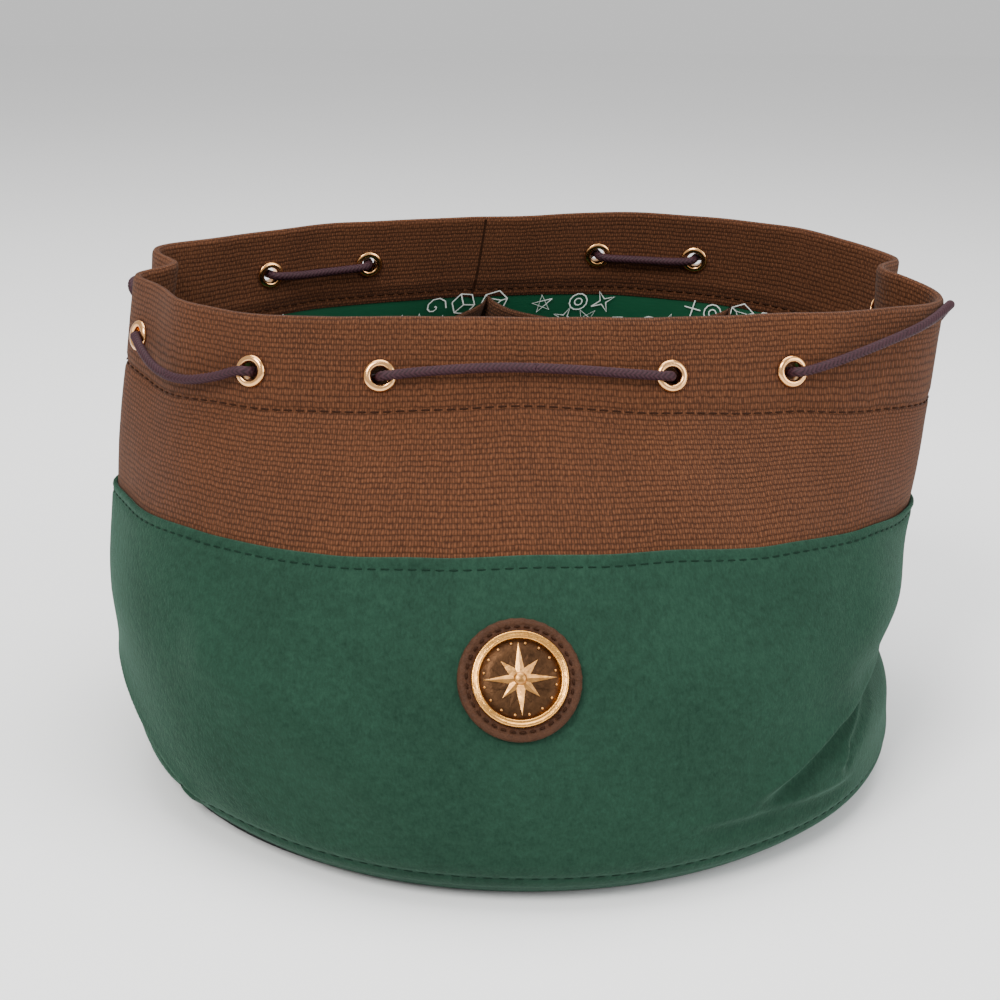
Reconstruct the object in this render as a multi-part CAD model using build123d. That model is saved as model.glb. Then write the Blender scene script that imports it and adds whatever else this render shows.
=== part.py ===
from build123d import *
from math import cos, pi, sin, tan
import os

os.makedirs("parts", exist_ok=True)

# ---- size of the bag, in mm ----
RIM_HEIGHT = 129.5            # rim over the floor, at the middle of the bag
HEM_HEIGHT = 110.4            # stitch line that closes the folded hem
SEAM_HEIGHT = 81.0            # folded top edge of the green lower wall
SEAM_LAP = 9.0                # how far the canvas runs down behind the green
RIM_SLOPE = 0.08              # the rim rises this much per mm towards the back
SLIT = 0.4                    # gap under the hem pieces that slide
SIDE_GAP = 3.0                # gap beside the hem pieces that slide
ROW_STEP = 7.0                # the walls are drawn through a row this often

# ---- cloth thicknesses, counted inwards from the canvas face ----
GREEN_OUT, GREEN_IN = -0.9, 0.4
CANVAS_OUT, CANVAS_IN = 0.5, 1.6
HEM_IN = 2.7
LINING_OUT, LINING_IN = 2.1, 2.6

# ---- base ----
BASE_R = 99.5
BASE_T = 1.5
BOARD_R, BOARD_T = 94.0, 2.0
BASE_LINING_R, BASE_LINING_T = 97.0, 0.6
LINING_BOTTOM = 6.0

# ---- pockets ----
POCKETS = 8
FIRST_POCKET_SEAM = 0.53      # share of the way round, from the front middle
POCKET_TOP = 107.0
POCKET_BOTTOM = 14.0
POCKET_BOW = 13.0
POCKET_T = 0.9
POCKET_GAP = 0.5

# ---- eyelets and cord ----
EYELET_DROP = 12.4            # eyelet's middle below the rim
EYELET_BORE_R = 2.4
BARREL_R = 2.9
FLANGE_R, FLANGE_T = 4.25, 0.8
WASHER_R, WASHER_T = 4.1, 0.5
HEM_HOLE_R = 3.0
CORD_R = 1.2
CORD_OFF = 2.7                # cord's middle outside the canvas face
CORD_IN = 6.4                 # cord's middle inside the canvas face
PLATE_MARGIN = 6.5            # hem kept on each side of an eyelet
HOLE_SHIFT, HOLE_OUT, HOLE_IN = 0.2, 2.8, 3.3
HOLE_RUN = 6.0                # the cord lies flat again this far from an eyelet's middle
END_SHARE, END_DROP = 0.0055, 2.0   # the cord's ends leave an eyelet sideways and downwards
TAIL_RUN, TAIL_DROP = 4.2, 3.2     # a tail starts this far beside and below its eyelet's middle
CORD_STEP, INNER_STEP = 4.0, 8.0   # the cord's course is drawn through a point this often
CORD_GAP = 0.2                # half the gap where two lengths of cord meet
TAIL_ENDS, TAIL_STARTS = "back_right", "back_left"
TAIL_STOPS = [(8.0, 106.0, 3.2), (11.0, 84.0, 3.2), (9.0, 62.0, 3.4), (12.0, 42.0, 4.2), (11.0, 27.0, 5.8)]
KNOT_R = 3.0
STUB = 6.0                    # frayed end beyond the knot

# ---- badge ----
BADGE_HEIGHT = 57.5
BADGE_SHIFT = -0.0080         # share of the way round, to the right of the middle
PATCH_R, PATCH_T = 15.0, 1.6
COIN_R, COIN_T = 11.5, 2.2
COIN_RING, COIN_RECESS = 2.0, 0.7
COIN_GAP = 0.35
STAR_POINTS, STAR_R, STAR_WAIST = 8, 8.4, 3.9
BADGE_REACH, BADGE_RISE = 0.045, 20.0   # cloth cut for the patch: share and height each way

# plan of the open mouth: front middle, then to the right and round the back
MOUTH = [
    (0, -41), (36, -41), (69, -36), (88, -29), (102, -19), (112, -7), (114, 0), (109.5, 12),
    (110.5, 22), (117, 30), (112, 41), (101, 53), (85, 64), (66, 72), (36, 76), (0, 75),
    (-36, 71), (-60, 65), (-78, 57), (-92, 48), (-100, 39), (-97, 31), (-92.5, 25), (-96, 19),
    (-101.5, 13), (-98, 3), (-90, -14), (-80, -25), (-68, -32.5), (-36, -40),
]

# height, half width, half depth, share of the mouth's plan in the wall's plan
PROFILE = [
    (1.5, 100, 101, 0.0), (6, 106, 106, 0.0), (14, 109, 109, 0.0), (38, 113, 110, 0.07),
    (60, 115, 108, 0.22), (81, 113, 106, 0.45), (110.4, 108, 104, 0.84), (129.5, 106, 106, 1.0),
]

# eyelet pairs as distances along the rim from the front middle, + to the right
PAIRS = {
    "front_right": (36.1, 69.2),
    "right": (136.3, 154.6),
    "back_right": (232.9, 263.6),
    "back_left": (335.1, 367.4),
    "left": (416.8, 451.0),
    "front_left": (499.0, 532.2),
}

mouth = Edge.make_spline([Vector(x, y, 0) for x, y in MOUTH], periodic=True)
MOUTH_LENGTH = mouth.length


def between(height, column):
    """A column of the wall's profile, on a smooth curve through its rows."""
    rows = [PROFILE[0], *PROFILE, PROFILE[-1]]
    for i in range(1, len(rows) - 2):
        if height <= rows[i + 1][0] or i == len(rows) - 3:
            break
    before, low, high, after = rows[i - 1:i + 3]
    width = high[0] - low[0]
    t = min(1.0, max(0.0, (height - low[0]) / width))
    leave = (high[column] - before[column]) / (high[0] - before[0]) * width
    arrive = (after[column] - low[column]) / (after[0] - low[0]) * width
    a = 2 * t**3 - 3 * t**2 + 1
    b = t**3 - 2 * t**2 + t
    c = t**3 - t**2
    return a * low[column] + b * leave + (1 - a) * high[column] + c * arrive


def plan(share, height):
    """Point of the wall's plan, a share of the way round."""
    share = share % 1.0
    wide, deep, like_mouth = (between(height, c) for c in (1, 2, 3))
    turn = 2 * pi * share
    rim = mouth @ share
    x = (1 - like_mouth) * wide * sin(turn) + like_mouth * rim.X
    y = -(1 - like_mouth) * deep * cos(turn) + like_mouth * rim.Y
    return Vector(x, y, 0)


def wall(share, height, depth=0.0):
    """Point on the wall, depth mm inwards from the canvas face."""
    step = 0.0015
    along = (plan(share + step, height) - plan(share - step, height)).normalized()
    inward = Vector(-along.Y, along.X, 0)
    return at_height(plan(share, height) + inward * depth, height)


def at_height(p, height):
    """A plan point raised to its height on the sloping level."""
    return Vector(p.X, p.Y, height * (1 + RIM_SLOPE * p.Y / RIM_HEIGHT))


def outward(share, height):
    """The wall's outward normal."""
    across = wall(share + 0.004, height) - wall(share - 0.004, height)
    up = wall(share, height + 2) - wall(share, height - 2)
    return across.cross(up).normalized()


def face_plane(share, height, depth=0.0):
    """A plane lying on the wall, its Z outwards."""
    normal = outward(share, height)
    at = wall(share, height) - normal * depth
    return Plane(origin=at, x_dir=Vector(0, 0, 1).cross(normal), z_dir=normal)


def heights(low, high):
    """The heights at which a piece of wall is drawn."""
    count = int(high / ROW_STEP) + 1
    inner = [i * ROW_STEP for i in range(count) if low + 2 < i * ROW_STEP < high - 2]
    return [low, *inner, high]


def drum(low, high, depth, samples=88):
    """Everything inside the wall between two heights."""
    rings = []
    for h in heights(low, high):
        points = [wall(i / samples, h, depth) for i in range(samples)]
        rings.append(Wire([Edge.make_spline(points, periodic=True)]))
    return Solid.make_loft(rings)


def shell(low, high, outer, inner):
    """A ring of cloth between two heights."""
    return drum(low, high, outer) - drum(low, high, inner)


def strip(start, end, low, high, outer, inner, samples=26):
    """A strip of cloth from one share of the way round to another."""
    outlines = []
    for h in heights(low, high):
        shares = [start + (end - start) * i / samples for i in range(samples + 1)]
        a = [outer(s, h) for s in shares]
        b = [inner(s, h) for s in reversed(shares)]
        edges = [Edge.make_spline(a), Edge.make_line(a[-1], b[0])]
        edges += [Edge.make_spline(b), Edge.make_line(b[-1], a[0])]
        outlines.append(Wire(edges))
    return Solid.make_loft(outlines)


def flat(depth):
    """Points at the same depth all over."""
    return lambda share, height: wall(share, height, depth)


def disc(radius, low, thick):
    return Pos(0, 0, low) * Cylinder(radius, thick, align=(Align.CENTER, Align.CENTER, Align.MIN))


def ring(outer, inner, low, thick):
    align = (Align.CENTER, Align.CENTER, Align.MIN)
    body = Cylinder(outer, thick, align=align) - Cylinder(inner, thick, align=align)
    return Pos(0, 0, low) * body


def save(name, shape):
    shape.label = name
    export_step(shape, f"parts/{name}.step")
    solids = shape.solids()
    print(f"{name}: {len(solids)} solid(s), {sum(s.volume for s in solids):.0f} mm3")


def share_of(distance):
    return distance / MOUTH_LENGTH


# ---- base and walls ----
def make_base():
    save("base_panel", disc(BASE_R, 0, BASE_T))
    save("base_board", disc(BOARD_R, BASE_T + 0.1, BOARD_T))
    save("base_lining", disc(BASE_LINING_R, BASE_T + BOARD_T + 0.2, BASE_LINING_T))


def make_walls():
    save("lower_wall", shell(BASE_T, SEAM_HEIGHT, GREEN_OUT, GREEN_IN))
    save("upper_wall", shell(SEAM_HEIGHT - SEAM_LAP, HEM_HEIGHT - SLIT, CANVAS_OUT, CANVAS_IN))
    save("lining_wall", shell(LINING_BOTTOM, HEM_HEIGHT - SLIT, LINING_OUT, LINING_IN))


# ---- pockets ----
def pocket_face(start, end, extra):
    """Points of a pocket's cloth: it lies on the lining at its seams and bows out at its top."""
    def point(share, height):
        across = (share - start) / (end - start)
        up = (height - POCKET_BOTTOM) / (POCKET_TOP - POCKET_BOTTOM)
        chord = plan(end, height) - plan(start, height)
        inward = Vector(-chord.Y, chord.X, 0).normalized()
        bow = POCKET_BOW * up * sin(pi * across)
        return at_height(wall(share, height, LINING_IN + POCKET_GAP + extra) + inward * bow, height)
    return point


def make_pockets():
    for i in range(POCKETS):
        start = FIRST_POCKET_SEAM + (i + 0.004) / POCKETS
        end = FIRST_POCKET_SEAM + (i + 0.996) / POCKETS
        face = pocket_face(start, end, 0)
        back = pocket_face(start, end, POCKET_T)
        save(f"pocket_{i + 1}", strip(start, end, POCKET_BOTTOM, POCKET_TOP, face, back))


# ---- hem ----
def plate_ends(name):
    first, last = PAIRS[name]
    return share_of(first - PLATE_MARGIN), share_of(last + PLATE_MARGIN)


def make_hem_plate(name):
    start, end = plate_ends(name)
    plate = strip(start, end, HEM_HEIGHT, RIM_HEIGHT, flat(CANVAS_OUT), flat(HEM_IN))
    for place in PAIRS[name]:
        hole = face_plane(share_of(place), RIM_HEIGHT - EYELET_DROP, HEM_IN / 2)
        plate = plate - hole * Cylinder(HEM_HOLE_R, 4 * HEM_IN)
    save(f"hem_{name}", plate)


def make_hem_span(name, before, after):
    """The hem between two sliding pieces."""
    start = plate_ends(before)[1] + share_of(SIDE_GAP)
    end = plate_ends(after)[0] - share_of(SIDE_GAP)
    if end < start:
        end += 1
    low = HEM_HEIGHT - SLIT + 0.05
    save(f"hem_span_{name}", strip(start, end, low, RIM_HEIGHT, flat(CANVAS_OUT), flat(HEM_IN)))


# ---- eyelets ----
def eyelet():
    """A barrel with a rolled flange; Z points out of the bag and 0 is the canvas face."""
    flange = ring(FLANGE_R, EYELET_BORE_R, -CANVAS_OUT + 0.02, FLANGE_T)
    flange = fillet(flange.edges().group_by(Axis.Z)[-1], FLANGE_T * 0.45)
    barrel = ring(BARREL_R, EYELET_BORE_R, -HEM_IN - WASHER_T - 0.2, HEM_IN + WASHER_T)
    roll = ring(BARREL_R + 0.6, EYELET_BORE_R, -HEM_IN - WASHER_T - 0.5, 0.4)
    return flange + barrel + roll


def washer():
    return ring(WASHER_R, BARREL_R + 0.05, -HEM_IN - WASHER_T - 0.05, WASHER_T)


def make_eyelets(name):
    planes = [face_plane(share_of(p), RIM_HEIGHT - EYELET_DROP) for p in PAIRS[name]]
    save(f"eyelets_{name}", Compound(children=[at * eyelet() for at in planes]))
    save(f"washers_{name}", Compound(children=[at * washer() for at in planes]))


# ---- drawcord ----
def cord_height():
    return RIM_HEIGHT - EYELET_DROP


def beside(share, depth):
    """A point square in from the canvas face at the cord's height, so it follows the wall's lean."""
    face = face_plane(share, cord_height())
    return face.origin - face.z_dir * depth


def route(start, end, depth, step):
    """Points along the wall at one depth, between two distances round the rim."""
    count = max(1, round(abs(end - start) / step))
    stops = [start + (end - start) * i / count for i in range(count + 1)]
    return [beside(share_of(s), depth) for s in stops]


def through(place, sign):
    """Points through an eyelet, going inwards when sign is 1 and outwards when it is -1."""
    outer, inner = (share_of(place + sign * side) for side in (-HOLE_SHIFT, HOLE_SHIFT))
    return [beside(outer, -HOLE_OUT), beside(inner, HEM_IN + HOLE_IN)]


def bend_radii(points, share=0.45):
    """Radius at each inner point, from the shorter run beside it and the turn there."""
    radii = []
    for a, b, c in zip(points, points[1:], points[2:]):
        turn = (b - a).get_angle(c - b) * pi / 180
        shorter = min((b - a).length, (c - b).length)
        radii.append(share * shorter / tan(turn / 2))
    return radii


def cord_tube(name, points):
    """A round cord along straight runs and tangent arcs; saves it and gives its path."""
    radii = bend_radii(points)
    path = FilletPolyline(*points, radius=radii)
    start = Plane(origin=path @ 0, z_dir=path % 0)
    tube = sweep(start * Circle(CORD_R), path=path)
    filled = tube.volume / (pi * CORD_R**2 * path.length)
    print(f"{name}: length {path.length:.1f}, volume share {filled:.3f}, radii {[round(r, 1) for r in radii]}")
    save(name, tube)
    return path


def make_cord_run(name, before, after):
    """The cord from the middle of one long span, in and out of two eyelets, to the next middle."""
    first, last = PAIRS[name]
    points = through(first, 1)
    points += route(first + HOLE_RUN, last - HOLE_RUN, CORD_IN, INNER_STEP)
    points += list(reversed(through(last, -1)))
    if name == TAIL_STARTS:
        points = [wall(share_of(first) - END_SHARE, cord_height() - END_DROP, -CORD_OFF), *points]
    else:
        middle = first - (first - before) % MOUTH_LENGTH / 2 + CORD_GAP
        points = route(middle, first - HOLE_RUN, -CORD_OFF, CORD_STEP) + points
    if name == TAIL_ENDS:
        points = [*points, wall(share_of(last) + END_SHARE, cord_height() - END_DROP, -CORD_OFF)]
    else:
        middle = last + (after - last) % MOUTH_LENGTH / 2 - CORD_GAP
        points = points + route(last + HOLE_RUN, middle, -CORD_OFF, CORD_STEP)
    cord_tube(f"cord_{name}", points)


def make_tail(side, place, lean):
    """A free end of the cord, hanging down the back of the bag to a stopper knot."""
    points = [wall(share_of(place + lean * TAIL_RUN), cord_height() - TAIL_DROP, -CORD_OFF - CORD_GAP)]
    points += [wall(share_of(place + lean * run), h, -off) for run, h, off in TAIL_STOPS]
    path = cord_tube(f"tail_{side}", points)
    way = path % 1
    middle = path @ 1 + way * (KNOT_R + 0.02)
    knot = Pos(middle) * Sphere(KNOT_R)
    stub = Plane(origin=middle, z_dir=way) * Cylinder(
        CORD_R * 1.15, KNOT_R + STUB, align=(Align.CENTER, Align.CENTER, Align.MIN)
    )
    save(f"knot_{side}", knot + stub)


# ---- badge ----
def make_badge():
    middle = face_plane(BADGE_SHIFT, BADGE_HEIGHT)
    green = 0.05 - GREEN_OUT
    cloth = strip(
        BADGE_SHIFT - BADGE_REACH, BADGE_SHIFT + BADGE_REACH,
        BADGE_HEIGHT - BADGE_RISE, BADGE_HEIGHT + BADGE_RISE,
        flat(-green - PATCH_T), flat(-green),
    )
    save("patch", cloth & (middle * Cylinder(PATCH_R, 30)))
    coin = disc(COIN_R, 0, COIN_T) - disc(COIN_R - COIN_RING, COIN_T - COIN_RECESS, COIN_T)
    star = [
        Vector(r * sin(i * pi / STAR_POINTS), r * cos(i * pi / STAR_POINTS))
        for i in range(2 * STAR_POINTS)
        for r in [STAR_R if i % 2 == 0 else STAR_WAIST]
    ]
    relief = extrude(make_face(Polyline(*star, close=True)), COIN_RECESS - 0.1)
    coin = coin + Pos(0, 0, COIN_T - COIN_RECESS) * relief
    save("medallion", middle.offset(green + PATCH_T + COIN_GAP) * coin)


make_base()
make_walls()
make_pockets()
make_badge()
ORDER = list(PAIRS)
for number, name in enumerate(ORDER):
    previous, following = ORDER[number - 1], ORDER[(number + 1) % len(ORDER)]
    make_hem_plate(name)
    make_hem_span(f"{name}_to_{following}", name, following)
    make_eyelets(name)
    make_cord_run(name, PAIRS[previous][1], PAIRS[following][0])
make_tail("right", PAIRS[TAIL_ENDS][1], 1)
make_tail("left", PAIRS[TAIL_STARTS][0], -1)
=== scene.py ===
# %% [markdown]
# # A drawstring dice bag
# The bag is sewn cloth: a green suede-like lower wall, a brown canvas upper wall with a folded hem, a printed
# lining with pockets, and one braided cord laced through twelve metal eyelets. This script dresses the packed
# CAD frame with that cloth. Everything is in metres, on the frame's own axes.

# %% Load the frame
import math
import bmesh
import bpy
import numpy as np
from mathutils import Matrix, Vector


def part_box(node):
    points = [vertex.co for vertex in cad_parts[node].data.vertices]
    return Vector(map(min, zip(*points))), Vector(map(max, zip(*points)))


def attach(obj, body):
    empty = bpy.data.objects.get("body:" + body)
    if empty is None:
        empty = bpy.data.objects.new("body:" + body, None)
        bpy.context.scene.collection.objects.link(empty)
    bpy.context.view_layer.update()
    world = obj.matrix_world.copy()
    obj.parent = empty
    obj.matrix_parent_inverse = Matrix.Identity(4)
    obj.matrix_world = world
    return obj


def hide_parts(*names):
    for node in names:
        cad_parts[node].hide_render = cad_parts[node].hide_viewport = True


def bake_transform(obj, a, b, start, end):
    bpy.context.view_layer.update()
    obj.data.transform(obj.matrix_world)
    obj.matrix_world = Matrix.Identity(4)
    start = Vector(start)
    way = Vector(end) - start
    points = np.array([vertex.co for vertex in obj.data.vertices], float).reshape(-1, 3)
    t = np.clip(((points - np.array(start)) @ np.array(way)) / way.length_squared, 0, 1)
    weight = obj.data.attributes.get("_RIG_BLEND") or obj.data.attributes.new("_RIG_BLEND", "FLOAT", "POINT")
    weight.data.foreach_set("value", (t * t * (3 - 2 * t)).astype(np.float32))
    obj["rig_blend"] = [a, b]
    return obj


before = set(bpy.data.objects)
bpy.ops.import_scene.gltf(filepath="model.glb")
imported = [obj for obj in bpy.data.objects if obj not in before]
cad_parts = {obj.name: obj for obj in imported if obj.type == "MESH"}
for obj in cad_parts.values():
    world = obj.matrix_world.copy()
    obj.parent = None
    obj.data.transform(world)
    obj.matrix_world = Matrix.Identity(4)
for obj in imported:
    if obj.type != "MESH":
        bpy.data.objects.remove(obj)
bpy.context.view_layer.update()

# %% [markdown]
# ## Sizes
# A bag like this is cut from straight strips, so its lines are easiest to state as heights on the flat strip and
# as distances round the rim. All of these are in millimetres, as in a sewing pattern, apart from the length of the
# cloth's own coordinates, which is in metres.

# %% Sizes of the bag
MM = 0.001
RIM, HEM, SEAM = 129.5, 110.4, 81.0
FACING_EDGE = 104.4
RIM_SLOPE = 0.08
BASE_SHIFT = 2.5
EYELET_DROP = 12.4
CORD_D = 2.4
POCKET_FOOT, POCKET_TOP = 14.0, 107.0
POCKET_SEAMS = [0.012, 0.128, 0.250, 0.384, 0.521, 0.655, 0.780, 0.900]
PLATE_MARGIN = 6.5
FOOT_ROW = 8.6
CLOTH_LENGTH = 0.66
MOUTH = [
    (0, -41), (36, -41), (69, -36), (88, -29), (102, -19), (112, -7), (114, 0), (109.5, 12),
    (110.5, 22), (117, 30), (112, 41), (101, 53), (85, 64), (66, 72), (36, 76), (0, 75),
    (-36, 71), (-60, 65), (-78, 57), (-92, 48), (-100, 39), (-97, 31), (-92.5, 25), (-96, 19),
    (-101.5, 13), (-98, 3), (-90, -14), (-80, -25), (-68, -32.5), (-36, -40),
]
PROFILE = np.array([
    (1.5, 100, 101, 0.0), (6, 106, 106, 0.0), (14, 109, 109, 0.0), (38, 113, 110, 0.07),
    (60, 115, 108, 0.22), (81, 113, 106, 0.45), (110.4, 108, 104, 0.84), (129.5, 106, 106, 1.0),
])
PAIRS = {
    "front_right": (36.1, 69.2),
    "right": (136.3, 154.6),
    "back_right": (232.9, 263.6),
    "back_left": (335.1, 367.4),
    "left": (416.8, 451.0),
    "front_left": (499.0, 532.2),
}

# %% [markdown]
# ## The wall as one surface
# Every layer of cloth follows the same wall, so the wall is one function: a share of the way round, a height and a
# depth give a point. Its plan turns from the round base into the oval mouth with a tuck at each side.

# %% The mouth's outline as a smooth closed line
def closed_line(points, count=2880):
    """Evenly spaced points on a smooth closed line through the given ones."""
    p = np.array(points, float)
    h = np.linalg.norm(np.roll(p, -1, 0) - p, axis=1)
    n = len(p)
    system = np.zeros((n, n))
    right = np.zeros((n, 2))
    for i in range(n):
        before, after = h[i - 1], h[i]
        system[i, i - 1] += before
        system[i, i] += 2 * (before + after)
        system[i, (i + 1) % n] += after
        right[i] = 6 * ((p[(i + 1) % n] - p[i]) / after - (p[i] - p[i - 1]) / before)
    bend = np.linalg.solve(system, right)
    line = []
    for i in range(n):
        j = (i + 1) % n
        t = np.linspace(0, h[i], 120, endpoint=False)[:, None]
        a, b = (h[i] - t) / h[i], t / h[i]
        line.append(a * p[i] + b * p[j] + ((a**3 - a) * bend[i] + (b**3 - b) * bend[j]) * h[i] ** 2 / 6)
    line = np.vstack(line)
    line = np.vstack([line, line[:1]])
    run = np.r_[0, np.cumsum(np.linalg.norm(np.diff(line, axis=0), axis=1))]
    even = np.linspace(0, run[-1], count + 1)
    return np.stack([np.interp(even, run, line[:, k]) for k in (0, 1)], 1), run[-1]


MOUTH_LINE, MOUTH_LENGTH = closed_line(MOUTH)
print("the mouth is", round(MOUTH_LENGTH), "mm round")


def share_of(distance):
    return distance / MOUTH_LENGTH


# %% A smooth profile, and wobbles of cloth
def column(height, k):
    """A column of the profile on a smooth curve through its rows."""
    rows = np.vstack([PROFILE[:1], PROFILE, PROFILE[-1:]])
    height = np.clip(height, PROFILE[0, 0], PROFILE[-1, 0])
    i = np.clip(np.searchsorted(PROFILE[:, 0], height, side="left"), 1, len(PROFILE) - 1)
    before, low, high, after = rows[i - 1], rows[i], rows[i + 1], rows[i + 2]
    width = high[:, 0] - low[:, 0]
    t = (height - low[:, 0]) / width
    leave = (high[:, k] - before[:, k]) / (high[:, 0] - before[:, 0]) * width
    arrive = (after[:, k] - low[:, k]) / (after[:, 0] - low[:, 0]) * width
    a = 2 * t**3 - 3 * t**2 + 1
    return a * low[:, k] + (t**3 - 2 * t**2 + t) * leave + (1 - a) * high[:, k] + (t**3 - t**2) * arrive


def around(share, stops):
    """A smooth value that goes through (share, value) stops and closes on itself."""
    stops = sorted(stops)
    x = np.array([s for s, _ in stops])
    v = np.array([w for _, w in stops])
    x = np.r_[x[-1] - 1, x, x[0] + 1]
    v = np.r_[v[-1], v, v[0]]
    share = np.asarray(share) % 1.0
    i = np.clip(np.searchsorted(x, share, side="right") - 1, 0, len(x) - 2)
    t = (share - x[i]) / (x[i + 1] - x[i])
    t = t * t * (3 - 2 * t)
    return v[i] * (1 - t) + v[i + 1] * t


def from_line(share, height, stops):
    """Distance from a line on the cloth, the side of it (1 is below), and a fade at its ends."""
    across = 690.0
    x = ((share + 0.5) % 1.0 - 0.5) * across
    best = np.full(np.shape(x), 1e9)
    side = np.ones(np.shape(x))
    along = np.zeros(np.shape(x))
    legs = len(stops) - 1
    for k in range(legs):
        a = np.array([stops[k][0] * across, stops[k][1]])
        b = np.array([stops[k + 1][0] * across, stops[k + 1][1]])
        d = b - a
        t = np.clip(((x - a[0]) * d[0] + (height - a[1]) * d[1]) / (d @ d), 0, 1)
        ex, ey = x - a[0] - t * d[0], height - a[1] - t * d[1]
        far = np.hypot(ex, ey)
        closer = far < best
        best = np.where(closer, far, best)
        side = np.where(closer, np.sign(-(d[0] * ey - d[1] * ex) * np.sign(d[0])), side)
        along = np.where(closer, (k + t) / legs, along)
    fade = np.clip(np.minimum(along, 1 - along) * 5, 0, 1)
    return best, side, fade * fade * (3 - 2 * fade)


def crease(share, height, stops, width, depth):
    """A soft fold: the cloth stands out below the line and dips in above it."""
    far, side, fade = from_line(share, height, stops)
    r = far * side / width
    return depth * fade * r * np.exp(0.5 - 0.5 * r * r)


def ridge(share, height, stops, width, depth):
    """A sharp fold: the cloth climbs gently to a line and drops steeply below it into a hollow."""
    far, side, fade = from_line(share, height, stops)
    r = far * side / width
    above = np.exp(-np.clip(-r, 0, None) / 1.3)
    below = np.exp(-((np.clip(r, 0, None) / 0.5) ** 2)) - 0.55 * np.exp(-(((r - 1.15) / 0.7) ** 2))
    return depth * fade * np.where(r < 0, above - 0.55 * np.exp(-(((r - 1.15) / 0.7) ** 2)), below)


def stitch_groove(height, middle, depth):
    """The shallow valley that a row of stitches pulls into cloth."""
    return -depth * np.exp(-(((height - middle) / 0.9) ** 2))


# the folds of the full lower wall: which kind, its line as (share, height) stops, its width and its depth in mm
FOLDS = [
    (ridge, [(0.225, 46), (0.185, 42), (0.15, 38), (0.12, 34), (0.095, 28), (0.068, 21)], 4.6, 3.2),
    (ridge, [(0.185, 36), (0.15, 31), (0.130, 27), (0.122, 19)], 3.2, 1.7),
    (ridge, [(0.045, 21), (0.09, 19), (0.14, 17)], 3.4, 1.2),
    (ridge, [(-0.235, 38), (-0.20, 27), (-0.165, 17), (-0.135, 6)], 3.6, 1.5),
    (ridge, [(-0.225, 30), (-0.19, 17), (-0.165, 9), (-0.15, 3)], 3.0, 1.0),
    (crease, [(-0.14, 66), (-0.11, 58), (-0.074, 47), (-0.030, 28)], 8.0, 1.5),
    (crease, [(0.02, 76), (0.06, 62), (0.11, 52), (0.15, 50)], 9.0, 1.1),
    (crease, [(-0.33, 50), (-0.39, 34), (-0.46, 22)], 6.0, 2.2),
    (ridge, [(0.29, 56), (0.34, 42), (0.39, 34), (0.45, 28)], 4.5, 2.2),
]


def wobble(share, height):
    """How far the cloth stands out from its plain shape, in mm."""
    turn = 2 * np.pi * share
    top = np.clip((height - 60) / 70, 0, 1)
    waist = 0.0
    for level, middle, inset, spread, reach in WAIST:
        off = (share - middle + 0.5) % 1.0 - 0.5
        waist = waist + inset * np.exp(-((off / spread) ** 2) - ((height - level) / reach) ** 2)
    ripple = np.sin(7 * turn + 0.6) + 0.6 * np.sin(13 * turn + 2.1) + 0.4 * np.sin(23 * turn + height / 19)
    out = -waist + 0.55 * top * ripple
    low = np.clip(height / 20, 0, 1) * np.clip((90 - height) / 30, 0, 1)
    out = out + 0.7 * low * (np.sin(5 * turn + height / 24 + 1) + 0.5 * np.sin(11 * turn - height / 15))
    for fold, stops, width, depth in FOLDS:
        out = out + fold(share, height, stops, width, depth)
    out = out + stitch_groove(height, SEAM - 2.4, 0.4) + stitch_groove(height, FOOT_ROW, 0.55)
    return out + stitch_groove(height, HEM, 0.3)


# how much lower the cloth's lines lie than a level strip, round the bag: at the canvas seam and at the hem
SEAM_DROP = [
    (0.0, -0.3), (0.05, 0.4), (0.10, 2.6), (0.15, 4.6), (0.19, 7.0), (0.235, 9.5), (0.30, 5.0), (0.40, 1.0),
    (0.5, 0.0), (0.6, 1.0), (0.70, 3.6), (0.76, 5.5), (0.81, 4.6), (0.86, 2.6), (0.92, 2.0), (0.96, 1.0),
]
HEM_DROP = [
    (0.0, 0.4), (0.06, 2.4), (0.12, 3.6), (0.17, 5.4), (0.215, 6.5), (0.25, 2.5), (0.32, 1.0), (0.5, 0.5),
    (0.65, 1.0), (0.72, 2.0), (0.77, 1.8), (0.82, 3.8), (0.87, 2.4), (0.93, 1.8),
]
# how far the full lower wall stands in from its plain shape at the bag's sides: (height, share, mm)
WAIST = [
    (62.0, 0.235, 3.6, 0.075, 20.0), (36.0, 0.205, 12.5, 0.080, 13.0), (15.0, 0.205, 2.5, 0.070, 8.0),
    (52.0, -0.24, 2.6, 0.08, 22.0), (30.0, -0.24, 4.0, 0.07, 18.0), (12.0, -0.235, 2.0, 0.07, 12.0),
    (128.0, 0.205, -7.0, 0.040, 24.0), (95.0, 0.215, -3.0, 0.060, 20.0),
    (104.0, -0.215, -3.4, 0.045, 24.0), (8.0, -0.15, 2.0, 0.06, 10.0),
]
# how far the rim stands above a sloping strip, round the bag
RIM_TRIM = [
    (0.0, 1.6), (0.06, 1.4), (0.12, 1.0), (0.17, 0.2), (0.225, -2.4), (0.25, -0.5), (0.29, -1.5), (0.36, 1.2),
    (0.45, 1.6), (0.53, 0.4), (0.60, -0.4), (0.68, -1.2), (0.72, -0.8), (0.75, -1.2), (0.78, -1.2), (0.81, -0.8),
    (0.86, -0.2), (0.93, 1.2),
]


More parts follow.
